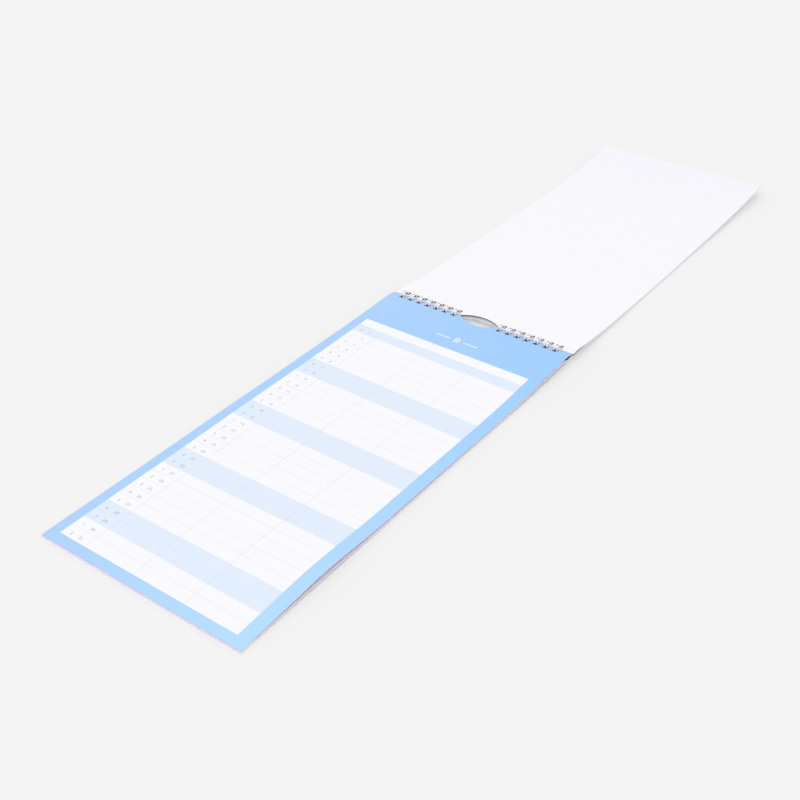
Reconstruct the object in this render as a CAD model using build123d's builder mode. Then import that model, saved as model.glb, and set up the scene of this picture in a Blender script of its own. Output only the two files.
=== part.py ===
"""Wall calendar on a twin-loop wire, lying open at one month.

X runs across the sheets, Y from the open month to the turned leaves and Z up.
The origin is on the table, straight under the axis of the wire loops. Millimetres.
"""

import os
from math import cos, radians, sin, sqrt

from build123d import *

os.makedirs("parts", exist_ok=True)

# Sheets
sheet_width = 167.2
leaf_thickness = 0.2
month_reach = 368.4
turned_leaf_count = 7
turned_fan = 2.2
remaining_leaf_count = 4
remaining_slip = 0.5
remaining_fan = 0.7
card_thickness = 0.5
card_margin = 2.1
card_side_margin = 0.4
strip_count = 34

# Air between sheets that lie on each other
seat_gap = 0.1
leaf_play = 0.3

# Twin-loop wire
wire_diameter = 0.9
wire_sides = 6
loop_radius = 3.95
loop_pitch = 8.4667
loops_left_out = 4
loop_side_margin = 6.0
wire_spacing = 2.6
loop_facets = 11
closure_angle = 36
spine_bend = 1.0
loop_lift = 1.1
loop_offset = -1.2

# Punching
hole_size = 4.0
hole_margin = 1.8
notch_width = 36.0
notch_depth = 8.4
turned_notch_depth = 7.0
card_overlap = 0.2

# Where the sheets cross the loops, as slopes outward from the axis, and where their punched edges end
month_angle = 11
month_over_axis = 0.55
month_edge_run = -0.1
turned_angle = 2
remaining_angle = -18
edge_run = 1.3

# Lie of the sheets: places along the leaf and heights of the free sheets there
station_shares = (0.03, 0.10, 0.20, 0.30, 0.42, 0.55, 0.68, 0.80, 0.90, 1.0)
month_lift = 3.0
month_left_shares = (0.52, 0.30, 0.47, 0.63, 0.69, 0.60, 0.33, 0.16, 0.09, 0.0)
month_right_shares = (0.52, 0.35, 0.11, 0.17, 0.32, 0.38, 0.50, 0.92, 0.49, 0.0)
remaining_lift = 3.7
remaining_left_shares = (1.0, 0.95, 0.54, 0.27, 0.05, 0.03, 0.03, 0.03, 0.02, 0.0)
remaining_right_shares = (1.0, 0.84, 0.38, 0.08, 0.0, 0.03, 0.11, 0.25, 0.14, 0.0)
turned_sag = 4.2
turned_left_near_shares = (0.94, 0.50, 0.24, 0.10, 0.03, 0.02)
turned_right_near_shares = (1.0, 0.57, 0.24, 0.07, 0.02, 0.07)
turned_curl = 10.2
turned_left_far_shares = (0.06, 0.20, 0.46, 1.0)
turned_right_far_shares = (0.12, 0.26, 0.44, 0.74)
card_rise = 2.55
card_rise_length = 80.0

# Printed fields of the open month
ink_thickness = 0.1
field_left_margin = 8.0
field_right_margin = 9.6
field_bottom_margin = 7.9
row_height = 9.78
row_count = 32
weekend_rows = ((1, 1), (7, 8), (14, 15), (21, 22), (28, 29))

# Hanger
hanger_wire_diameter = 1.3
hanger_inset = 0.6
hanger_axis_y = 1.15
hanger_axis_drop = 2.3
hook_base = 32.0
hook_top = 16.0
hook_height = 4.8
hook_bend = 8.0

# Depth of a cut that goes right through
overrun = 30.0

axis_height = loop_lift + wire_diameter / 2 + loop_radius
turned_thickness = turned_leaf_count * leaf_thickness
remaining_thickness = remaining_leaf_count * leaf_thickness
remaining_reach = month_reach + remaining_slip
card_reach = month_reach + card_margin
card_width = sheet_width + 2 * card_side_margin
hanger_length = sheet_width - 2 * hanger_inset
field_width = sheet_width - field_left_margin - field_right_margin
field_x = (field_left_margin - field_right_margin) / 2
first_loop = loop_pitch * (loops_left_out + 1) / 2
loop_room = sheet_width / 2 - abs(loop_offset) - loop_side_margin - first_loop
loops_per_side = 1 + int(loop_room / loop_pitch)


def outward(angle, run, over=0):
    """A point at a run from the axis, on the open month's side or, past 90 degrees, the turned side."""
    slope = radians(angle)
    return -run * cos(slope) + over * sin(slope), axis_height + run * sin(slope) + over * cos(slope)


def crossing(angle, first_run, over, drop):
    """The stretch of a sheet's underside between its punched edge and the loops."""
    return [(y, z - drop) for y, z in (outward(angle, run, over) for run in (first_run, loop_radius))]


def remaining_under(shares):
    """Underside of the leaves still to come, which rest on the card."""
    rest = card_thickness + seat_gap
    run = [(-s * remaining_reach, rest + h * remaining_lift) for s, h in zip(station_shares, shares)]
    return crossing(remaining_angle, edge_run, 0, remaining_thickness / 2) + run


def month_under(shares, remaining_shares):
    """Underside of the open month, which lies over the leaves still to come."""
    rest = card_thickness + seat_gap + remaining_thickness + leaf_play
    run = []
    for s, h, under in zip(station_shares, shares, remaining_shares):
        run.append((-s * month_reach, rest + h * month_lift + under * remaining_lift))
    return crossing(month_angle, month_edge_run, month_over_axis, leaf_thickness / 2) + run


def turned_under(near_shares, far_shares):
    """Underside of the turned leaves, which sag to the table and curl up at the far end."""
    heights = [seat_gap + h * turned_sag for h in near_shares]
    heights += [seat_gap + h * turned_curl for h in far_shares]
    run = [(s * month_reach, z) for s, z in zip(station_shares, heights)]
    return crossing(180 - turned_angle, edge_run, 0, turned_thickness) + run


def raised(points, height):
    return [(y, z + height) for y, z in points]


def in_strips(points):
    """A smooth line through the points as short straight runs, closest together near the loops."""
    with BuildLine() as smooth:
        Spline(*points)
    run = []
    for k in range(strip_count + 1):
        share = k / strip_count
        place = smooth.line @ (share * sqrt(share))
        run.append((place.X, place.Y))
    return run


def flat_face(*corners):
    return make_face(Polyline(*corners, close=True)).face()


def sheet(left, right, thickness, fan):
    """A sheet in flat facets between two long edges, given by its underside; the fan slants its far end."""
    left_run = in_strips(left)
    right_run = in_strips(right)
    middle_run = [((a + c) / 2, (b + d) / 2) for (a, b), (c, d) in zip(left_run, right_run)]
    lower = []
    upper = []
    for x, under in ((-sheet_width / 2, left_run), (0, middle_run), (sheet_width / 2, right_run)):
        fanned = under[:-1] + [(under[-1][0] + fan, under[-1][1])]
        lower.append([(x, y, z) for y, z in fanned])
        upper.append([(x, y, z + thickness) for y, z in under])
    faces = []
    for surface in (lower, upper):
        for near, far in zip(surface, surface[1:]):
            for k in range(strip_count):
                faces.append(flat_face(near[k], far[k], far[k + 1]))
                faces.append(flat_face(near[k], far[k + 1], near[k + 1]))
    for half in (0, 1):
        for end in (0, -1):
            below = (lower[half][end], lower[half + 1][end])
            above = (upper[half + 1][end], upper[half][end])
            faces.append(flat_face(*below, *above))
    for side in (0, -1):
        faces.append(flat_face(*lower[side], *reversed(upper[side])))
    return Solid(Shell(faces))


def loop_places():
    """X of each loop, in a left and a right group."""
    right = [loop_offset + first_loop + k * loop_pitch for k in range(loops_per_side)]
    left = [loop_offset - first_loop - k * loop_pitch for k in reversed(range(loops_per_side))]
    return left, right


def punch(edge, side, depth):
    """The square holes and the arc of the notch for a sheet whose punched edge is at Y = edge."""
    left, right = loop_places()
    hole_y = edge + side * (hole_margin + hole_size / 2)
    notch_radius = (notch_width**2 / 4 + depth**2) / (2 * depth)
    notch_y = edge + side * (depth - notch_radius)
    with BuildPart() as cutter:
        with BuildSketch():
            with Locations(*[(x, hole_y) for x in left + right]):
                Rectangle(hole_size, hole_size)
            with Locations((0, notch_y)):
                Circle(notch_radius)
        extrude(amount=overrun)
    return cutter.part


# Turned leaves: the months gone by, backs up
turned_left = turned_under(turned_left_near_shares, turned_left_far_shares)
turned_right = turned_under(turned_right_near_shares, turned_right_far_shares)
turned_blank = sheet(turned_left, turned_right, turned_thickness, turned_fan)
with BuildPart() as turned_leaves:
    add(turned_blank)
    add(punch(turned_left[0][0], 1, turned_notch_depth), mode=Mode.SUBTRACT)
turned_leaves.part.label = "turned_leaves"

# Leaves still to come, under the open month
remaining_left = remaining_under(remaining_left_shares)
remaining_right = remaining_under(remaining_right_shares)
remaining_blank = sheet(remaining_left, remaining_right, remaining_thickness, -remaining_fan)
with BuildPart() as remaining_leaves:
    add(remaining_blank)
    add(punch(remaining_left[0][0], -1, notch_depth), mode=Mode.SUBTRACT)
remaining_leaves.part.label = "remaining_leaves"

# Open month
month_left = month_under(month_left_shares, remaining_left_shares)
month_right = month_under(month_right_shares, remaining_right_shares)
month_edge = month_left[0][0]
month_end = month_left[-1][0]
month_blank = sheet(month_left, month_right, leaf_thickness, 0)
with BuildPart() as month_leaf:
    add(month_blank)
    add(punch(month_edge, -1, notch_depth), mode=Mode.SUBTRACT)
month_leaf.part.label = "month_leaf"


def printed(rows):
    """Ink over the given rows, counted from the heading row, as a layer that follows the leaf."""
    top = month_end + field_bottom_margin + row_count * row_height
    layer = sheet(raised(month_left, leaf_thickness), raised(month_right, leaf_thickness), ink_thickness, 0)
    with BuildPart() as ink:
        add(layer)
        with BuildSketch():
            for first, last in rows:
                height = (last - first + 1) * row_height
                with Locations((field_x, top - first * row_height - height / 2)):
                    Rectangle(field_width, height)
        extrude(amount=overrun, mode=Mode.INTERSECT)
    return ink.part


def rows_between(bands):
    """The rows that the bands leave free."""
    first_rows = [0] + [last + 1 for first, last in bands]
    last_rows = [first - 1 for first, last in bands] + [row_count - 1]
    return list(zip(first_rows, last_rows))


day_fields = printed(rows_between(weekend_rows))
day_fields.label = "day_fields"
weekend_bands = printed(weekend_rows)
weekend_bands.label = "weekend_bands"

# Backing card: flat on the table, rising to the loops in one arc
card_edge = card_overlap
card_end = -card_reach
with BuildPart() as backing_card:
    with BuildSketch(Plane.YZ.offset(-card_width / 2)):
        with BuildLine():
            flat = Line((card_end, 0), (card_edge - card_rise_length, 0))
            rise = TangentArc(flat @ 1, (card_edge, card_rise), tangent=(1, 0))
            top = TangentArc(
                (card_edge - card_rise_length, card_thickness),
                (card_edge, card_rise + card_thickness),
                tangent=(1, 0),
            )
            Line(rise @ 1, top @ 1)
            Line(top @ 0, (card_end, card_thickness))
            Line((card_end, card_thickness), flat @ 0)
        make_face()
    extrude(amount=card_width)
    add(punch(card_edge, -1, notch_depth), mode=Mode.SUBTRACT)
backing_card.part.label = "backing_card"


def on_loop(x, angle):
    return Vector(x, loop_radius * cos(radians(angle)), axis_height + loop_radius * sin(radians(angle)))


def off_loop(x, angle, run):
    """A point straight on from the loop by a run, along its tangent."""
    return on_loop(x, angle) + Vector(0, -sin(radians(angle)), cos(radians(angle))) * run


def comb_route(places):
    """The one wire that makes a group of loops: up round each loop, back beside it, on to the next."""
    half = wire_spacing / 2
    base = -90 + closure_angle / 2
    tip = base + 360 - closure_angle
    step = (tip - base) / loop_facets
    eighth = sqrt(2) / 2
    corner = spine_bend * (1 - eighth)
    route = []
    for x in places:
        if route:
            before = x - loop_pitch + half
            route.append(off_loop(before + corner, base, -spine_bend * eighth))
            route.append(off_loop(before + spine_bend, base, -spine_bend))
            route.append(off_loop(x - half - spine_bend, base, -spine_bend))
            route.append(off_loop(x - half - corner, base, -spine_bend * eighth))
        route += [on_loop(x - half, base + k * step) for k in range(loop_facets + 1)]
        route.append(off_loop(x - half * eighth, tip, half * eighth))
        route.append(off_loop(x, tip, half))
        route.append(off_loop(x + half * eighth, tip, half * eighth))
        route += [on_loop(x + half, tip - k * step) for k in range(loop_facets + 1)]
    return route


# Twin-loop wire: a comb on each side of the notch, both alike
with BuildPart() as twin_loops:
    for places in loop_places():
        with BuildLine() as comb:
            Polyline(*comb_route(places))
        with BuildSketch(Plane(origin=comb.line @ 0, z_dir=comb.line % 0)):
            RegularPolygon(wire_diameter / 2, wire_sides)
        sweep(path=comb.line, transition=Transition.RIGHT)
twin_loops.part.label = "twin_loops"

# Hanger: arms inside the loops, hook in the notch
hanger_axis_z = axis_height - hanger_axis_drop
with BuildPart() as hanger:
    with BuildLine(Plane.XY.offset(hanger_axis_z)) as bent_wire:
        FilletPolyline(
            (-hanger_length / 2, hanger_axis_y),
            (-hook_base / 2, hanger_axis_y),
            (-hook_top / 2, hanger_axis_y + hook_height),
            (hook_top / 2, hanger_axis_y + hook_height),
            (hook_base / 2, hanger_axis_y),
            (hanger_length / 2, hanger_axis_y),
            radius=hook_bend,
        )
    with BuildSketch(Plane(origin=bent_wire.line @ 0, z_dir=bent_wire.line % 0)):
        Circle(hanger_wire_diameter / 2)
    sweep(path=bent_wire.line)
hanger.part.label = "hanger"

export_step(turned_leaves.part, "parts/turned_leaves.step")
export_step(month_leaf.part, "parts/month_leaf.step")
export_step(day_fields, "parts/day_fields.step")
export_step(weekend_bands, "parts/weekend_bands.step")
export_step(remaining_leaves.part, "parts/remaining_leaves.step")
export_step(backing_card.part, "parts/backing_card.step")
export_step(twin_loops.part, "parts/twin_loops.step")
export_step(hanger.part, "parts/hanger.step")
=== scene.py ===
"""Looks of the wall calendar: paper, print, wire and light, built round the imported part."""

from bisect import bisect_right
from math import cos, pi, radians, sin, sqrt

import bpy
from mathutils import Matrix, Vector
from mathutils.geometry import delaunay_2d_cdt


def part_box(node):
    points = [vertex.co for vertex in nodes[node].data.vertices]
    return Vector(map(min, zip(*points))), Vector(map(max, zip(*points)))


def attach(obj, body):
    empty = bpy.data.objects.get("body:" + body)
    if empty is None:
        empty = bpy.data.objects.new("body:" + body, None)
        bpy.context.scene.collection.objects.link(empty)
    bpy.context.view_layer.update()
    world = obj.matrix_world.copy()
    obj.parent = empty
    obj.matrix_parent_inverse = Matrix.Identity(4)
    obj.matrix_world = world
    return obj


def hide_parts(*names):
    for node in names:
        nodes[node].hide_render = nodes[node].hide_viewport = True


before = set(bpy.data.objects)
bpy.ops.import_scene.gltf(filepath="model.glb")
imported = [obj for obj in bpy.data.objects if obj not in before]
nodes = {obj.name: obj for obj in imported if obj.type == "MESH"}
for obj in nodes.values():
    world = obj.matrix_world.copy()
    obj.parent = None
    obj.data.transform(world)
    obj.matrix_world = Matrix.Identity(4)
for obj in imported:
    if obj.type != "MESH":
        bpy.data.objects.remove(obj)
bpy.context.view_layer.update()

MM = 0.001
ACROSS = 0
ALONG = 1

# Sheets and their punching, in millimetres like every length that a mesh is made from
HALF_WIDTH = 83.6
HOLE = 4.0
HOLE_MARGIN = 1.8
NOTCH_WIDTH = 36.0
NOTCH_DEPTH = 8.4
TURNED_NOTCH_DEPTH = 7.0
TOP_NOTCH_DEPTH = 6.3

# Loops and their wire
AXIS_HEIGHT = 5.5
LOOP_RADIUS = 3.95
LOOP_PITCH = 25.4 / 3
LOOP_SHIFT = -1.2
LOOPS_PER_SIDE = 7
FIRST_LOOP_PITCHES = 2.5
CLOSURE = 36
WIRE_RADIUS = 0.45
WIRE_SPACING = 2.6
WIRE_BEND = 1.0
WIRE_SIDES = 12

# Print of a month: a panel of rows, the first one empty, with lines and figures
PANEL_LEFT = -75.6
PANEL_RIGHT = 74.0
PANEL_WIDTH = PANEL_RIGHT - PANEL_LEFT
PANEL_TOP = -47.5
ROW = 9.78
ROWS = 32
DAYS = 31
FIRST_WEEKDAY = 7
WEEKEND_ROWS = ((1, 1), (7, 8), (14, 15), (21, 22), (28, 29))
COLUMN_SHARES = (0.15, 0.435, 0.72)
FIGURE_COLUMN_SHARE = 0.2
ROW_LINE_HALF = 0.11
COLUMN_LINE_HALF = 0.13
WEEKDAY_SHARE = 0.044
DAY_SHARE = 0.099
DAY_HEIGHT = 2.5
DAY_DROP = 1.2
MONTH_PLACE = (1.6, -34.5)
MONTH_HEIGHT = 6.6
MONTH_STRETCH = 1.2
RULE_START = 6
RULE_END = 19
RULE_HALF = 0.45

# Levels of the print over its sheet
FIELD_INK = 0.06
LINE_FOOT = 0.05
ROW_LINE_INK = 0.075
COLUMN_LINE_INK = 0.08
DAY_INK = 0.1
MONTH_INK = 0.03
HIDDEN_INK = 0.04

# The single leaves of the two stacks, from the top one down
TURNED = 7
TURNED_PAPER_SHARE = 0.85
TURNED_SLIDES = (0.0, 0.1, 0.12, 0.05, 0.1, 0.08, 0.0)
TURNED_SHIFTS = (0.15, 0.3, 0.38, 0.25, 0.35, 0.38, 0.3)
COMING = 4
COMING_PAPER_SHARE = 0.93

# How finely the meshes are made
GRID_ROWS = 60
GRID_CROWDING = 1.3
GRID_COLUMNS = 20
NOTCH_STEPS = 40
NOTCH_CLEARANCE = 1
GRID_CLEARANCE = 0.7
FIELD_COLUMN = 15
FIELD_STEP = 6.0
BEND_STEPS = 6
LOOP_STEPS = 40
TIP_STEPS = 12
FIGURE_CAP_SHARE = 0.7
FIGURE_SPACING = 1.08
FIGURE_RESOLUTION = 3

# Where colours run into each other along the calendar, in metres
PAPER_FADE = (0.0, 0.37)
# Where the strip of painted shade along the coming leaves' punched edge fades out
HOLE_SHADE_FADE = (-0.0090, -0.0085)
BLUE_FADE = (-0.02, -0.3675)
BINDING_FADE = (0.012, 0.020)

# Table and light, in metres and degrees
TABLE_HALF = 6
TABLE_DROP = 0.0001
SHADOW_LIFT = 0.52
LIGHT_FROM = Vector((-0.5, 0.15, 1.0)).normalized()
ROOM_DARK = 0.90
ROOM_BRIGHT = 1.02
SUN = 0.22
SUN_SPREAD = 50

# Camera, worked out from the corners of the sheets in the photo
SENSOR = 36
LENS = 52.445
CAMERA_PLACE = Vector((0.4245, -0.6773, 0.4772))
CAMERA_LOOKING = Vector((-0.49247, 0.66215, -0.56486)).normalized()
CAMERA_UP = Vector((-0.3282, 0.4599, 0.8251))


# Shader helpers

def tone(red, green, blue):
    """A colour given in 8-bit display values, as the linear values that shaders use."""
    linear = []
    for value in (red, green, blue):
        c = value / 255
        linear.append(c / 12.92 if c <= 0.04045 else ((c + 0.055) / 1.055) ** 2.4)
    return (linear[0], linear[1], linear[2], 1.0)


def node_material(name):
    """A new material, its node tree and its main shader."""
    material = bpy.data.materials.new(name)
    material.use_nodes = True
    tree = material.node_tree
    return material, tree, tree.nodes["Principled BSDF"]


def add_node(tree, kind, **inputs):
    """A new shader node, with inputs set by their names."""
    node = tree.nodes.new(kind)
    for key, value in inputs.items():
        node.inputs[key.replace("_", " ")].default_value = value
    return node


def coordinates(tree):
    """The object's own coordinates, so that a texture moves with its piece."""
    return tree.nodes.new("ShaderNodeTexCoord").outputs["Object"]


def mix_colours(tree, factor, first, second, blend="MIX"):
    """A colour mix. Factor and colours may be values or sockets."""
    node = tree.nodes.new("ShaderNodeMix")
    node.data_type = "RGBA"
    node.blend_type = blend
    for socket, value in ((node.inputs[0], factor), (node.inputs[6], first), (node.inputs[7], second)):
        if isinstance(value, bpy.types.NodeSocket):
            tree.links.new(value, socket)
        else:
            socket.default_value = value
    return node.outputs[2]


def ramp(tree, axis, low, high):
    """0 to 1 along one axis of the object's own coordinates, between two lengths in metres."""
    split = tree.nodes.new("ShaderNodeSeparateXYZ")
    tree.links.new(coordinates(tree), split.inputs[0])
    remap = add_node(tree, "ShaderNodeMapRange", From_Min=low, From_Max=high)
    tree.links.new(split.outputs[axis], remap.inputs["Value"])
    return remap.outputs["Result"]


# Materials

def paper_surface(tree, shader, colour, roughness=0.62, grain=0.02):
    """Paper: a faint cloudiness in the colour, fibres in the relief, an uneven sheen."""
    place = coordinates(tree)
    cloud = add_node(tree, "ShaderNodeTexNoise", Scale=55.0, Detail=4.0, Roughness=0.6)
    fibre = add_node(tree, "ShaderNodeTexNoise", Scale=2600.0, Detail=3.0, Roughness=0.7, Distortion=0.6)
    wave = add_node(tree, "ShaderNodeTexNoise", Scale=9.0, Detail=1.0, Roughness=0.4)
    for texture in (cloud, fibre, wave):
        tree.links.new(place, texture.inputs["Vector"])
    shade = add_node(tree, "ShaderNodeMapRange", To_Min=1.0 - grain, To_Max=1.0)
    tree.links.new(cloud.outputs["Fac"], shade.inputs["Value"])
    dim = mix_colours(tree, 1.0, colour, shade.outputs["Result"], "MULTIPLY")
    tree.links.new(dim, shader.inputs["Base Color"])
    sheen = add_node(tree, "ShaderNodeMapRange", To_Min=roughness - 0.06, To_Max=roughness + 0.06)
    tree.links.new(fibre.outputs["Fac"], sheen.inputs["Value"])
    tree.links.new(sheen.outputs["Result"], shader.inputs["Roughness"])
    relief = add_node(tree, "ShaderNodeBump", Strength=0.12, Distance=0.00002)
    tree.links.new(fibre.outputs["Fac"], relief.inputs["Height"])
    swell = add_node(tree, "ShaderNodeBump", Strength=0.10, Distance=0.0002)
    tree.links.new(wave.outputs["Fac"], swell.inputs["Height"])
    tree.links.new(relief.outputs["Normal"], swell.inputs["Normal"])
    tree.links.new(swell.outputs["Normal"], shader.inputs["Normal"])
    shader.inputs["Specular IOR Level"].default_value = 0.25


def plain_paper(name, near, far=None):
    """Paper of one colour, or of two that run into each other along the calendar."""
    material, tree, shader = node_material(name)
    far = near if far is None else far
    paper_surface(tree, shader, mix_colours(tree, ramp(tree, ALONG, *PAPER_FADE), near, far))
    return material


def headed_paper(name, colour, hole_shade):
    """Paper of one colour with a dark strip of painted shade along its punched edge, the shade seen down the
    holes.
    """
    material, tree, shader = node_material(name)
    paper_surface(tree, shader, mix_colours(tree, ramp(tree, ALONG, *HOLE_SHADE_FADE), colour, hole_shade))
    return material


def blue_print():
    """The open month's ground: light blue that turns paler and greener towards the near right corner."""
    material, tree, shader = node_material("blue_print")
    across = ramp(tree, ACROSS, -HALF_WIDTH * MM, HALF_WIDTH * MM)
    down = ramp(tree, ALONG, *BLUE_FADE)
    top = mix_colours(tree, across, tone(170, 207, 250), tone(156, 203, 250))
    bottom = mix_colours(tree, across, tone(171, 208, 250), tone(180, 220, 251))
    ground = mix_colours(tree, down, top, bottom)
    place = coordinates(tree)
    wash = add_node(tree, "ShaderNodeTexNoise", Scale=22.0, Detail=3.0, Roughness=0.5, Distortion=0.8)
    tree.links.new(place, wash.inputs["Vector"])
    pool = add_node(tree, "ShaderNodeMapRange", From_Min=0.35, From_Max=0.75, To_Min=0.0, To_Max=0.10)
    tree.links.new(wash.outputs["Fac"], pool.inputs["Value"])
    ground = mix_colours(tree, pool.outputs["Result"], ground, tone(182, 215, 249))
    paper_surface(tree, shader, ground)
    return material


def bare_print(name, colour):
    """Ink or bare ground on a month, as even as the print is."""
    material, tree, shader = node_material(name)
    paper_surface(tree, shader, colour, grain=0.01)
    return material


def cut_edge(name, core, tint, binding_ink_and_shade=None):
    """The cut edge of a printed leaf: the paper's core with ink dragged over it by the knife.

    A binding colour, purple print with painted shade in it, shows at the punched edge and fades out along
    the leaf."""
    material, tree, shader = node_material(name)
    place = coordinates(tree)
    drag = add_node(tree, "ShaderNodeTexNoise", Scale=420.0, Detail=3.0, Roughness=0.65)
    tree.links.new(place, drag.inputs["Vector"])
    amount = add_node(tree, "ShaderNodeMapRange", From_Min=0.3, From_Max=0.7)
    tree.links.new(drag.outputs["Fac"], amount.inputs["Value"])
    colour = mix_colours(tree, amount.outputs["Result"], core, tint)
    if binding_ink_and_shade:
        colour = mix_colours(tree, ramp(tree, ALONG, *BINDING_FADE), binding_ink_and_shade, colour)
    paper_surface(tree, shader, colour)
    return material


def wire_metal(name, colour, roughness):
    """Drawn wire: metal with faint streaks along it and a slightly uneven polish."""
    material, tree, shader = node_material(name)
    place = coordinates(tree)
    streak = add_node(tree, "ShaderNodeTexNoise", Scale=900.0, Detail=4.0, Roughness=0.7, Distortion=1.2)
    smudge = add_node(tree, "ShaderNodeTexNoise", Scale=160.0, Detail=2.0)
    for texture in (streak, smudge):
        tree.links.new(place, texture.inputs["Vector"])
    shade = add_node(tree, "ShaderNodeMapRange", To_Min=0.86, To_Max=1.0)
    tree.links.new(smudge.outputs["Fac"], shade.inputs["Value"])
    dim = mix_colours(tree, 1.0, colour, shade.outputs["Result"], "MULTIPLY")
    tree.links.new(dim, shader.inputs["Base Color"])
    polish = add_node(tree, "ShaderNodeMapRange", To_Min=roughness - 0.07, To_Max=roughness + 0.07)
    tree.links.new(streak.outputs["Fac"], polish.inputs["Value"])
    tree.links.new(polish.outputs["Result"], shader.inputs["Roughness"])
    relief = add_node(tree, "ShaderNodeBump", Strength=0.15, Distance=0.00002)
    tree.links.new(streak.outputs["Fac"], relief.inputs["Height"])
    tree.links.new(relief.outputs["Normal"], shader.inputs["Normal"])
    shader.inputs["Metallic"].default_value = 1.0
    return material


def table_surface():
    """A pale table. The camera alone sees it a little lighter, so its shadows stay soft."""
    material, tree, shader = node_material("table")
    speck = add_node(tree, "ShaderNodeTexNoise", Scale=40.0, Detail=2.0)
    tree.links.new(coordinates(tree), speck.inputs["Vector"])
    colour = mix_colours(tree, speck.outputs["Fac"], tone(239, 239, 239), tone(240, 240, 240))
    tree.links.new(colour, shader.inputs["Base Color"])
    shader.inputs["Roughness"].default_value = 0.9
    shader.inputs["Specular IOR Level"].default_value = 0.0
    seen = tree.nodes.new("ShaderNodeMath")
    seen.operation = "MULTIPLY"
    seen.inputs[1].default_value = SHADOW_LIFT
    tree.links.new(tree.nodes.new("ShaderNodeLightPath").outputs["Is Camera Ray"], seen.inputs[0])
    pale = add_node(tree, "ShaderNodeEmission", Color=tone(244, 244, 243), Strength=1.0)
    blend = tree.nodes.new("ShaderNodeMixShader")
    tree.links.new(seen.outputs["Value"], blend.inputs[0])
    tree.links.new(shader.outputs["BSDF"], blend.inputs[1])
    tree.links.new(pale.outputs["Emission"], blend.inputs[2])
    tree.links.new(blend.outputs["Shader"], tree.nodes["Material Output"].inputs["Surface"])
    return material


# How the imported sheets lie

def edge_lines(node, x):
    """The upper and lower line of a packed sheet's long edge at one side, as (y, z)."""
    columns = {}
    for vertex in nodes[node].data.vertices:
        if abs(vertex.co.x / MM - x) < 0.01:
            y, z = vertex.co.y / MM, vertex.co.z / MM
            columns.setdefault(round(y, 2), []).append((y, z))
    upper, lower, lone = [], [], []
    for key in sorted(columns, key=abs):
        heights = sorted(columns[key], key=lambda point: point[1])
        if heights[-1][1] - heights[0][1] < 0.05:
            lone.append(heights[0])
        else:
            lower.append(heights[0])
            upper.append(heights[-1])
    if lone:
        lone.sort(key=lambda point: point[1])
        lower.append(lone[0])
        upper.append(lone[-1])
    return upper, lower


def smooth_line(points):
    """Height as a smooth function of y through the points, straight on past their ends."""
    points = sorted(points)
    ys = [y for y, z in points]
    zs = [z for y, z in points]
    last = len(points) - 1
    slopes = []
    for i in range(last + 1):
        a, b = max(i - 1, 0), min(i + 1, last)
        slopes.append((zs[b] - zs[a]) / (ys[b] - ys[a]))

    def height(y):
        if y <= ys[0]:
            return zs[0] + slopes[0] * (y - ys[0])
        if y >= ys[last]:
            return zs[last] + slopes[last] * (y - ys[last])
        i = bisect_right(ys, y) - 1
        run = ys[i + 1] - ys[i]
        t = (y - ys[i]) / run
        return (
            zs[i] * (1 + 2 * t) * (1 - t) ** 2
            + slopes[i] * run * t * (1 - t) ** 2
            + zs[i + 1] * t * t * (3 - 2 * t)
            + slopes[i + 1] * run * t * t * (t - 1)
        )

    return height


def layer(node, share):
    """A level in a packed sheet or stack, share 0 at its top and 1 at its underside.

    Returns height(x, y) and the y where that level ends."""
    sides = []
    for x in (-HALF_WIDTH, HALF_WIDTH):
        upper, lower = edge_lines(node, x)
        sides.append(
            [(a[0] + (b[0] - a[0]) * share, a[1] + (b[1] - a[1]) * share) for a, b in zip(upper, lower)]
        )
    left, right = smooth_line(sides[0]), smooth_line(sides[1])

    def height(x, y):
        across = (x + HALF_WIDTH) / (2 * HALF_WIDTH)
        return left(y) * (1 - across) + right(y) * across

    return height, sides[0][-1][0]


# Meshes of sheets and print

def finish_mesh(name, points, faces, materials, indices=None, sharp=35):
    """A mesh object from points in millimetres."""
    mesh = bpy.data.meshes.new(name)
    mesh.from_pydata([(x * MM, y * MM, z * MM) for x, y, z in points], [], faces)
    for material in materials:
        mesh.materials.append(material)
    if indices:
        mesh.polygons.foreach_set("material_index", indices)
    mesh.shade_smooth()
    mesh.set_sharp_from_angle(angle=radians(sharp))
    mesh.validate()
    mesh.update()
    piece = bpy.data.objects.new(name, mesh)
    bpy.context.scene.collection.objects.link(piece)
    return piece


def loop_places():
    """The x of each loop in the two groups, left and right of the notch."""
    first = LOOP_PITCH * FIRST_LOOP_PITCHES
    right = [LOOP_SHIFT + first + k * LOOP_PITCH for k in range(LOOPS_PER_SIDE)]
    left = [LOOP_SHIFT - first - k * LOOP_PITCH for k in reversed(range(LOOPS_PER_SIDE))]
    return left, right


def sheet_outline(rows, columns, shift, notch_height):
    """The rim of a sheet seen from above, from its punched edge with the notch round to its far end."""
    edge, end = rows[0], rows[-1]
    left, right = columns[0], columns[-1]
    mouth = NOTCH_WIDTH / 2 + NOTCH_CLEARANCE
    arc = [shift + NOTCH_WIDTH / 2 * -cos(pi * k / NOTCH_STEPS) for k in range(NOTCH_STEPS + 1)]
    outline = [(left, edge)]
    outline += [(x, edge) for x in columns[1:-1] if x < shift - mouth]
    outline += [(x, notch_height(x)) for x in arc]
    outline += [(x, edge) for x in columns[1:-1] if x > shift + mouth]
    outline += [(right, y) for y in rows[:-1]]
    outline += [(x, end) for x in reversed(columns)]
    outline += [(left, y) for y in reversed(rows[1:-1])]
    return outline


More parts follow.
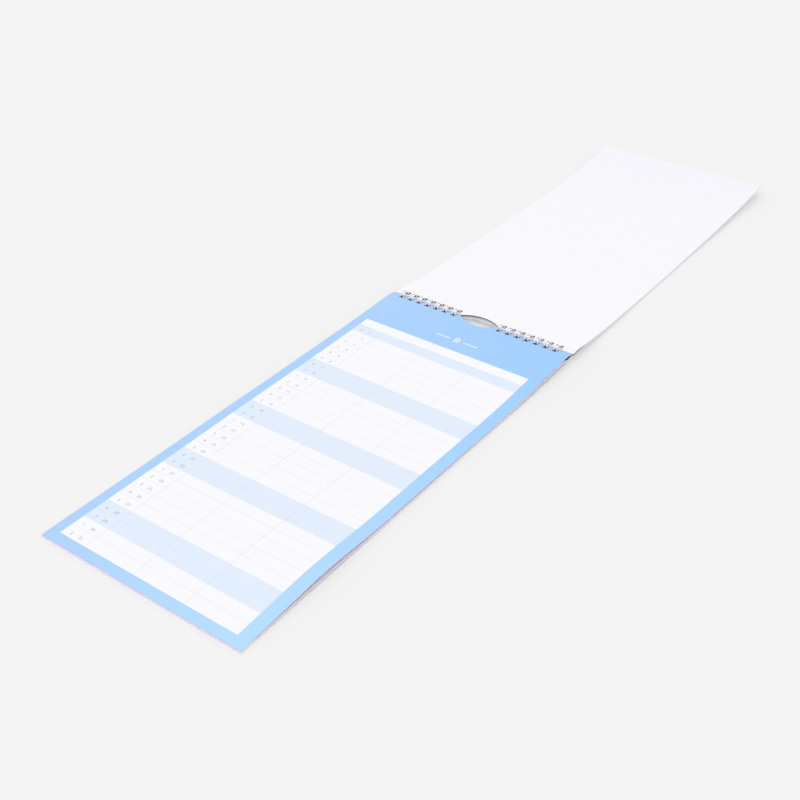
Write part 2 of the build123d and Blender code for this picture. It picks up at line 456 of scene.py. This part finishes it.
def triangulated(points, loops, is_open):
    """A sheet's points, its triangles between closed loops of points, and its rim as ordered pairs."""
    edges = []
    for loop in loops:
        edges += [(a, b) for a, b in zip(loop, loop[1:] + loop[:1])]
    found, _, triangles, _, _, _ = delaunay_2d_cdt([Vector(p) for p in points], edges, [], 0, 1e-5)
    kept = []
    for triangle in triangles:
        x = sum(found[i].x for i in triangle) / 3
        y = sum(found[i].y for i in triangle) / 3
        a, b, c = (found[i] for i in triangle)
        area = (b.x - a.x) * (c.y - a.y) - (b.y - a.y) * (c.x - a.x)
        if abs(area) > 1e-6 and not is_open(x, y, -1e-4):
            kept.append(tuple(triangle) if area > 0 else tuple(reversed(triangle)))
    directed = {(a, b) for t in kept for a, b in zip(t, t[1:] + t[:1])}
    rim = [(a, b) for a, b in directed if (b, a) not in directed]
    return [(p.x, p.y) for p in found], kept, sorted(rim)


def plan(edge, end, side, depth, shift=0.0):
    """A punched sheet seen from above, between the y of its punched edge and that of its end.

    Side is 1 or -1, the way the sheet runs from its punched edge. Depth is the notch's."""
    radius = (NOTCH_WIDTH**2 / 4 + depth**2) / (2 * depth)
    centre = edge + side * (depth - radius)
    hole_y = edge + side * (HOLE_MARGIN + HOLE / 2)
    holes = [(x, hole_y) for group in loop_places() for x in group]
    left, right = shift - HALF_WIDTH, shift + HALF_WIDTH
    rows = [edge + (end - edge) * (k / GRID_ROWS) ** GRID_CROWDING for k in range(GRID_ROWS + 1)]
    columns = [left + (right - left) * k / GRID_COLUMNS for k in range(GRID_COLUMNS + 1)]

    def notch_height(x):
        return centre + side * sqrt(max(radius**2 - (x - shift) ** 2, 0.0))

    def is_open(x, y, margin):
        if abs(x - shift) < NOTCH_WIDTH / 2 + margin:
            if sqrt((x - shift) ** 2 + (y - centre) ** 2) < radius + margin:
                return True
        return any(
            abs(x - hx) < HOLE / 2 + margin and abs(y - hy) < HOLE / 2 + margin for hx, hy in holes
        )

    points = sheet_outline(rows, columns, shift, notch_height)
    loops = [list(range(len(points)))]
    for x, y in holes:
        loops.append(list(range(len(points), len(points) + 4)))
        points += [(x - HOLE / 2, y - HOLE / 2), (x + HOLE / 2, y - HOLE / 2)]
        points += [(x + HOLE / 2, y + HOLE / 2), (x - HOLE / 2, y + HOLE / 2)]
    for y in rows[1:-1]:
        points += [(x, y) for x in columns[1:-1] if not is_open(x, y, GRID_CLEARANCE)]
    return triangulated(points, loops, is_open)


def leaf(name, outline, top, bottom, materials):
    """A sheet between two height functions, with a printed top, an underside and a cut rim."""
    flat, triangles, rim = outline
    count = len(flat)
    points = [(x, y, top(x, y)) for x, y in flat] + [(x, y, bottom(x, y)) for x, y in flat]
    faces = list(triangles)
    faces += [tuple(i + count for i in reversed(t)) for t in triangles]
    faces += [(b, a, a + count, b + count) for a, b in rim]
    indices = [0] * len(triangles) + [1] * len(triangles) + [2] * len(rim)
    return finish_mesh(name, points, faces, materials, indices)


def add_slab(points, faces, box, ground, low, high):
    """Adds one slab of print, a box (x0, x1, y0, y1) between two heights over the ground surface."""
    x0, x1, y0, y1 = box
    columns = max(1, round(abs(x1 - x0) / FIELD_COLUMN))
    rows = max(1, round(abs(y1 - y0) / FIELD_STEP))
    start = len(points)
    size = (rows + 1) * (columns + 1)
    for level in (low, high):
        for j in range(rows + 1):
            for i in range(columns + 1):
                x = x0 + (x1 - x0) * i / columns
                y = y0 + (y1 - y0) * j / rows
                points.append((x, y, ground(x, y) + level))

    def at(i, j, level):
        return start + level * size + j * (columns + 1) + i

    for j in range(rows):
        for i in range(columns):
            faces.append((at(i, j, 1), at(i + 1, j, 1), at(i + 1, j + 1, 1), at(i, j + 1, 1)))
            faces.append((at(i, j, 0), at(i, j + 1, 0), at(i + 1, j + 1, 0), at(i + 1, j, 0)))
    for i in range(columns):
        faces.append((at(i, 0, 0), at(i + 1, 0, 0), at(i + 1, 0, 1), at(i, 0, 1)))
        faces.append((at(i + 1, rows, 0), at(i, rows, 0), at(i, rows, 1), at(i + 1, rows, 1)))
    for j in range(rows):
        faces.append((at(0, j + 1, 0), at(0, j, 0), at(0, j, 1), at(0, j + 1, 1)))
        faces.append((at(columns, j, 0), at(columns, j + 1, 0), at(columns, j + 1, 1), at(columns, j, 1)))


def field(name, boxes, ground, low, high, material):
    """Flat print over the ground surface, as slabs between two heights over it."""
    points, faces = [], []
    for box in boxes:
        add_slab(points, faces, box, ground, low, high)
    return finish_mesh(name, points, faces, [material])


def lettering(name, entries, ground, lift, material):
    """Plain figures laid on the ground surface: entries of text, x, y, height and width share."""
    points, faces = [], []
    for text, x, y, height, stretch in entries:
        curve = bpy.data.curves.new("figure", "FONT")
        curve.body = text
        curve.align_x = "CENTER"
        curve.align_y = "CENTER"
        curve.size = height / FIGURE_CAP_SHARE
        curve.space_character = FIGURE_SPACING
        curve.resolution_u = FIGURE_RESOLUTION
        holder = bpy.data.objects.new("figure", curve)
        bpy.context.scene.collection.objects.link(holder)
        bpy.context.view_layer.update()
        mesh = bpy.data.meshes.new_from_object(holder.evaluated_get(bpy.context.evaluated_depsgraph_get()))
        start = len(points)
        for vertex in mesh.vertices:
            px, py = x + vertex.co.x * stretch, y + vertex.co.y
            points.append((px, py, ground(px, py) + lift))
        for polygon in mesh.polygons:
            corners = [start + i for i in polygon.vertices]
            faces.append(tuple(corners) if polygon.normal.z > 0 else tuple(reversed(corners)))
        bpy.data.objects.remove(holder)
        bpy.data.curves.remove(curve)
        bpy.data.meshes.remove(mesh)
    return finish_mesh(name, points, faces, [material])


# Wire

def tube(name, paths, radius, sides, material):
    """Round wire along each path, with closed ends."""
    points, faces = [], []
    for path in paths:
        start = len(points)
        forward = (path[1] - path[0]).normalized()
        across = forward.orthogonal().normalized()
        for i, place in enumerate(path):
            ahead = path[min(i + 1, len(path) - 1)] - path[max(i - 1, 0)]
            ahead.normalize()
            across = (across - ahead * across.dot(ahead)).normalized()
            up = ahead.cross(across)
            for k in range(sides):
                angle = 2 * pi * k / sides
                points.append(tuple(place + across * radius * cos(angle) + up * radius * sin(angle)))
        for i in range(len(path) - 1):
            for k in range(sides):
                a = start + i * sides + k
                b = start + i * sides + (k + 1) % sides
                faces.append((a, b, b + sides, a + sides))
        faces.append(tuple(start + k for k in reversed(range(sides))))
        end = start + (len(path) - 1) * sides
        faces.append(tuple(end + k for k in range(sides)))
    return finish_mesh(name, points, faces, [material], sharp=60)


def on_loop(x, angle):
    """A point of a loop, at an angle in degrees from the turned leaves' side."""
    a = radians(angle)
    return Vector((x, LOOP_RADIUS * cos(a), AXIS_HEIGHT + LOOP_RADIUS * sin(a)))


def off_loop(x, angle, run):
    """A point straight on from a loop's end, at a run along its tangent."""
    a = radians(angle)
    return on_loop(x, angle) + Vector((0, -sin(a), cos(a))) * run


def comb_path(places):
    """The line of the one wire that makes a group of loops."""
    half = WIRE_SPACING / 2
    base = -90 + CLOSURE / 2
    tip = base + 360 - CLOSURE
    quarter = [pi / 2 * k / BEND_STEPS for k in range(BEND_STEPS + 1)]
    sweep = [base + (tip - base) * k / LOOP_STEPS for k in range(LOOP_STEPS + 1)]
    path = []
    for x in places:
        if path:
            before = x - LOOP_PITCH + half
            for a in quarter:
                path.append(off_loop(before + WIRE_BEND * (1 - cos(a)), base, -WIRE_BEND * sin(a)))
            for a in reversed(quarter):
                path.append(off_loop(x - half - WIRE_BEND * (1 - cos(a)), base, -WIRE_BEND * sin(a)))
        path += [on_loop(x - half, angle) for angle in (sweep[1:] if path else sweep)]
        for k in range(1, TIP_STEPS):
            a = pi * k / TIP_STEPS
            path.append(off_loop(x - half * cos(a), tip, half * sin(a)))
        path += [on_loop(x + half, angle) for angle in reversed(sweep)]
    return path


# The calendar's own colours

blue = blue_print()
# The blank leaf backs turn a little darker towards the far end: painted shade for the light falling off
# there
leaf_back = plain_paper("leaf_back", tone(246, 246, 250), tone(243, 242, 248))
leaf_edge = cut_edge("leaf_edge", tone(246, 242, 252), tone(222, 218, 246))
panel_white = bare_print("panel_white", tone(246, 246, 250))
weekend_tint = bare_print("weekend_tint", tone(223, 234, 250))
line_ink = bare_print("line_ink", tone(219, 221, 231))
figure_ink = bare_print("figure_ink", tone(176, 176, 190))
month_ink = bare_print("month_ink", tone(243, 248, 252))
card_white = plain_paper("card_white", tone(247, 247, 249))
loop_steel = wire_metal("loop_steel", tone(248, 246, 244), 0.32)
hanger_steel = wire_metal("hanger_steel", tone(250, 246, 252), 0.34)
# Dark plum along the coming leaves' punched edge: painted shade, seen through the holes
hole_shade_plum = tone(112, 60, 84)
# Purple print at the turned leaves' punched edges: darkened on the lower leaves as painted shade in the
# holes and notch, lighter on the lit top leaf
top_binding_ink_lit = tone(150, 134, 180)
lower_binding_ink_and_shade = tone(98, 70, 128)
under_prints = (
    tone(158, 140, 186),
    tone(214, 208, 236),
    tone(226, 216, 240),
    tone(190, 180, 220),
    tone(232, 214, 238),
    tone(178, 166, 210),
    tone(188, 176, 216),
)
coming_prints = (
    tone(244, 230, 252),
    tone(240, 230, 251),
    tone(246, 236, 252),
    tone(240, 234, 247),
)


# Sub-parts

def row_box(first, last):
    """The panel's rows from first to last, as one box."""
    top = PANEL_TOP - first * ROW
    return (PANEL_LEFT, PANEL_RIGHT, top - (last - first + 1) * ROW, top)


def month_sheet():
    """The open month's leaf, and the height function of its top."""
    top, end = layer("month_leaf", 0)
    bottom, _ = layer("month_leaf", 1)
    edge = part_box("month_leaf")[1].y / MM
    outline = plan(edge, end, -1, NOTCH_DEPTH)
    sheet = leaf("open_month", outline, top, bottom, [blue, leaf_back, leaf_edge])
    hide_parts("month_leaf")
    return sheet, top


def day_panel(top):
    """White ground under the working days."""
    boxes = []
    start = 0
    for first, last in WEEKEND_ROWS:
        boxes.append(row_box(start, first - 1))
        start = last + 1
    boxes.append(row_box(start, ROWS - 1))
    panel = field("day_panel", boxes, top, 0.0, FIELD_INK, panel_white)
    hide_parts("day_fields")
    return panel


def weekend_fields(top):
    """Pale blue ground under the weekends."""
    boxes = [row_box(first, last) for first, last in WEEKEND_ROWS]
    bands = field("weekend_tint_fields", boxes, top, 0.0, FIELD_INK, weekend_tint)
    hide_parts("weekend_bands")
    return bands


def row_lines(top):
    """Thin lines between the rows."""
    middles = [PANEL_TOP - row * ROW for row in range(1, ROWS)]
    boxes = [(PANEL_LEFT, PANEL_RIGHT, y - ROW_LINE_HALF, y + ROW_LINE_HALF) for y in middles]
    return field("row_lines", boxes, top, LINE_FOOT, ROW_LINE_INK, line_ink)


def column_lines(top):
    """Thin lines between the columns. The one beside the figures leaves out the empty first row."""
    boxes = []
    for share in COLUMN_SHARES:
        x = PANEL_LEFT + share * PANEL_WIDTH
        head = PANEL_TOP if share > FIGURE_COLUMN_SHARE else PANEL_TOP - ROW
        boxes.append((x - COLUMN_LINE_HALF, x + COLUMN_LINE_HALF, PANEL_TOP - ROWS * ROW, head))
    return field("column_lines", boxes, top, LINE_FOOT, COLUMN_LINE_INK, line_ink)


def day_figures(top):
    """The number of the weekday and of the day at the left of each row."""
    entries = []
    for day in range(1, DAYS + 1):
        y = PANEL_TOP - (day + 0.5) * ROW - DAY_DROP
        weekday = (day + FIRST_WEEKDAY - 2) % 7 + 1
        entries.append((str(weekday), PANEL_LEFT + WEEKDAY_SHARE * PANEL_WIDTH, y, DAY_HEIGHT, 1.0))
        entries.append((str(day), PANEL_LEFT + DAY_SHARE * PANEL_WIDTH, y, DAY_HEIGHT, 1.0))
    return lettering("day_figures", entries, top, DAY_INK, figure_ink)


def month_figure(top):
    """The number of the month, in place of a name."""
    x, y = MONTH_PLACE
    return lettering("month_figure", [("8", x, y, MONTH_HEIGHT, MONTH_STRETCH)], top, MONTH_INK, month_ink)


def month_rules(top):
    """A short rule at each side of the month's number."""
    x, y = MONTH_PLACE
    spans = ((x - RULE_END, x - RULE_START), (x + RULE_START, x + RULE_END))
    boxes = [(start, end, y - RULE_HALF, y + RULE_HALF) for start, end in spans]
    return field("month_rules", boxes, top, 0.0, MONTH_INK, month_ink)


def open_month():
    """The open month's leaf and everything printed on it."""
    sheet, top = month_sheet()
    for piece, material_slot in (
        (sheet, "blue_paper"),
        (day_panel(top), "white_print"),
        (weekend_fields(top), "pale_blue_print"),
        (row_lines(top), "white_print"),
        (column_lines(top), "white_print"),
        (day_figures(top), "white_print"),
        (month_figure(top), "blue_paper"),
        (month_rules(top), "blue_paper"),
    ):
        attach(piece, "month_leaf")


def turned_leaf(i, edge_y):
    """One turned leaf, counted from the top. Returns the height function of its underside."""
    top, end = layer("turned_leaves", i / TURNED)
    bottom, _ = layer("turned_leaves", (i + TURNED_PAPER_SHARE) / TURNED)
    slide = TURNED_SLIDES[i]
    # Lighter purple on the lit top leaf, with more painted shade on the leaves under it
    binding_tone = top_binding_ink_lit if i == 0 else lower_binding_ink_and_shade
    depth = TOP_NOTCH_DEPTH if i == 0 else TURNED_NOTCH_DEPTH
    under = plain_paper(f"turned_print_{i}", under_prints[i])
    edge = cut_edge(f"turned_edge_{i}", tone(250, 250, 253), tone(240, 239, 248), binding_tone)
    outline = plan(edge_y + slide, end + slide, 1, depth, TURNED_SHIFTS[i])
    piece = leaf(f"turned_leaf_{i}", outline, top, bottom, [leaf_back, under, edge])
    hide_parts("turned_leaves")
    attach(piece, "turned_leaves")
    return bottom


def turned_stack():
    """The leaves gone by, blank sides up, and the panel of last month on the lowest one's underside."""
    edge_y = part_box("turned_leaves")[0].y / MM
    for i in range(TURNED):
        bottom = turned_leaf(i, edge_y)
    box = (PANEL_LEFT, PANEL_RIGHT, -PANEL_TOP, -PANEL_TOP + ROWS * ROW)
    panel = field("last_month_panel", [box], bottom, -HIDDEN_INK, 0.0, panel_white)
    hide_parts("turned_leaves")
    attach(panel, "turned_leaves")


def coming_leaf(i, edge_y):
    """One leaf still to come, counted from the top."""
    top, end = layer("remaining_leaves", i / COMING)
    bottom, _ = layer("remaining_leaves", (i + COMING_PAPER_SHARE) / COMING)
    upper = headed_paper(f"coming_print_{i}", coming_prints[i], hole_shade_plum)
    edge = cut_edge(f"coming_edge_{i}", tone(250, 247, 250), coming_prints[i])
    outline = plan(edge_y, end, -1, NOTCH_DEPTH)
    piece = leaf(f"coming_leaf_{i}", outline, top, bottom, [upper, leaf_back, edge])
    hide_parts("remaining_leaves")
    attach(piece, "back")


def coming_stack():
    """The leaves still to come, and the panel of next month on the first one."""
    edge_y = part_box("remaining_leaves")[1].y / MM
    for i in range(COMING):
        coming_leaf(i, edge_y)
    top, _ = layer("remaining_leaves", 0)
    panel = field("next_month_panel", [row_box(0, ROWS - 1)], top, 0.0, HIDDEN_INK, panel_white)
    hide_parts("remaining_leaves")
    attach(panel, "back")


def dress_node(node, material):
    """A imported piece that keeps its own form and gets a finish."""
    nodes[node].data.materials.clear()
    nodes[node].data.materials.append(material)


def loop_wires():
    """The two cut lengths of twin-loop wire."""
    paths = [comb_path(group) for group in loop_places()]
    combs = tube("twin_loop_wire", paths, WIRE_RADIUS, WIRE_SIDES, loop_steel)
    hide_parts("twin_loops")
    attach(combs, "back")


# Table, light and camera

def table():
    """The pale table that the calendar lies on."""
    corners = ((-1, -1), (1, -1), (1, 1), (-1, 1))
    mesh = bpy.data.meshes.new("table_top")
    mesh.from_pydata([(x * TABLE_HALF, y * TABLE_HALF, -TABLE_DROP) for x, y in corners], [], [(0, 1, 2, 3)])
    mesh.materials.append(table_surface())
    table_top = bpy.data.objects.new("table_top", mesh)
    bpy.context.scene.collection.objects.link(table_top)


def soft_room():
    """White light from all sides, a little brighter from where the photo's light comes."""
    world = bpy.data.worlds.new("soft_room")
    bpy.context.scene.world = world
    world.use_nodes = True
    room = world.node_tree
    background = room.nodes["Background"]
    background.inputs["Color"].default_value = (1.0, 1.0, 1.0, 1.0)
    toward_light = room.nodes.new("ShaderNodeVectorMath")
    toward_light.operation = "DOT_PRODUCT"
    toward_light.inputs[1].default_value = LIGHT_FROM
    room.links.new(room.nodes.new("ShaderNodeTexCoord").outputs["Generated"], toward_light.inputs[0])
    falloff = add_node(room, "ShaderNodeMapRange", From_Min=-0.4, From_Max=1.0)
    falloff.inputs["To Min"].default_value = ROOM_DARK
    falloff.inputs["To Max"].default_value = ROOM_BRIGHT
    room.links.new(toward_light.outputs["Value"], falloff.inputs["Value"])
    room.links.new(falloff.outputs["Result"], background.inputs["Strength"])


def soft_sun():
    """A weak, wide sun, for the direction of the shadows."""
    sun = bpy.data.lights.new("window", "SUN")
    sun.energy = SUN
    sun.angle = radians(SUN_SPREAD)
    sun.color = (1.0, 1.0, 1.0)
    window = bpy.data.objects.new("window", sun)
    window.rotation_euler = LIGHT_FROM.to_track_quat("Z", "Y").to_euler()
    bpy.context.scene.collection.objects.link(window)


def photo_camera():
    """The camera at the photo's angle."""
    lens = bpy.data.cameras.new("camera")
    lens.sensor_width = SENSOR
    lens.lens = LENS
    camera = bpy.data.objects.new("camera", lens)
    sideways = CAMERA_LOOKING.cross(CAMERA_UP).normalized()
    upward = sideways.cross(CAMERA_LOOKING)
    turn = Matrix((sideways, upward, -CAMERA_LOOKING)).transposed().to_4x4()
    camera.matrix_world = Matrix.Translation(CAMERA_PLACE) @ turn
    bpy.context.scene.collection.objects.link(camera)
    return camera


open_month()
turned_stack()
coming_stack()
dress_node("backing_card", card_white)
dress_node("hanger", hanger_steel)
loop_wires()

scene = bpy.context.scene
scene.view_settings.view_transform = "Standard"
scene.view_settings.look = "None"
table()
soft_room()
soft_sun()
scene.camera = photo_camera()
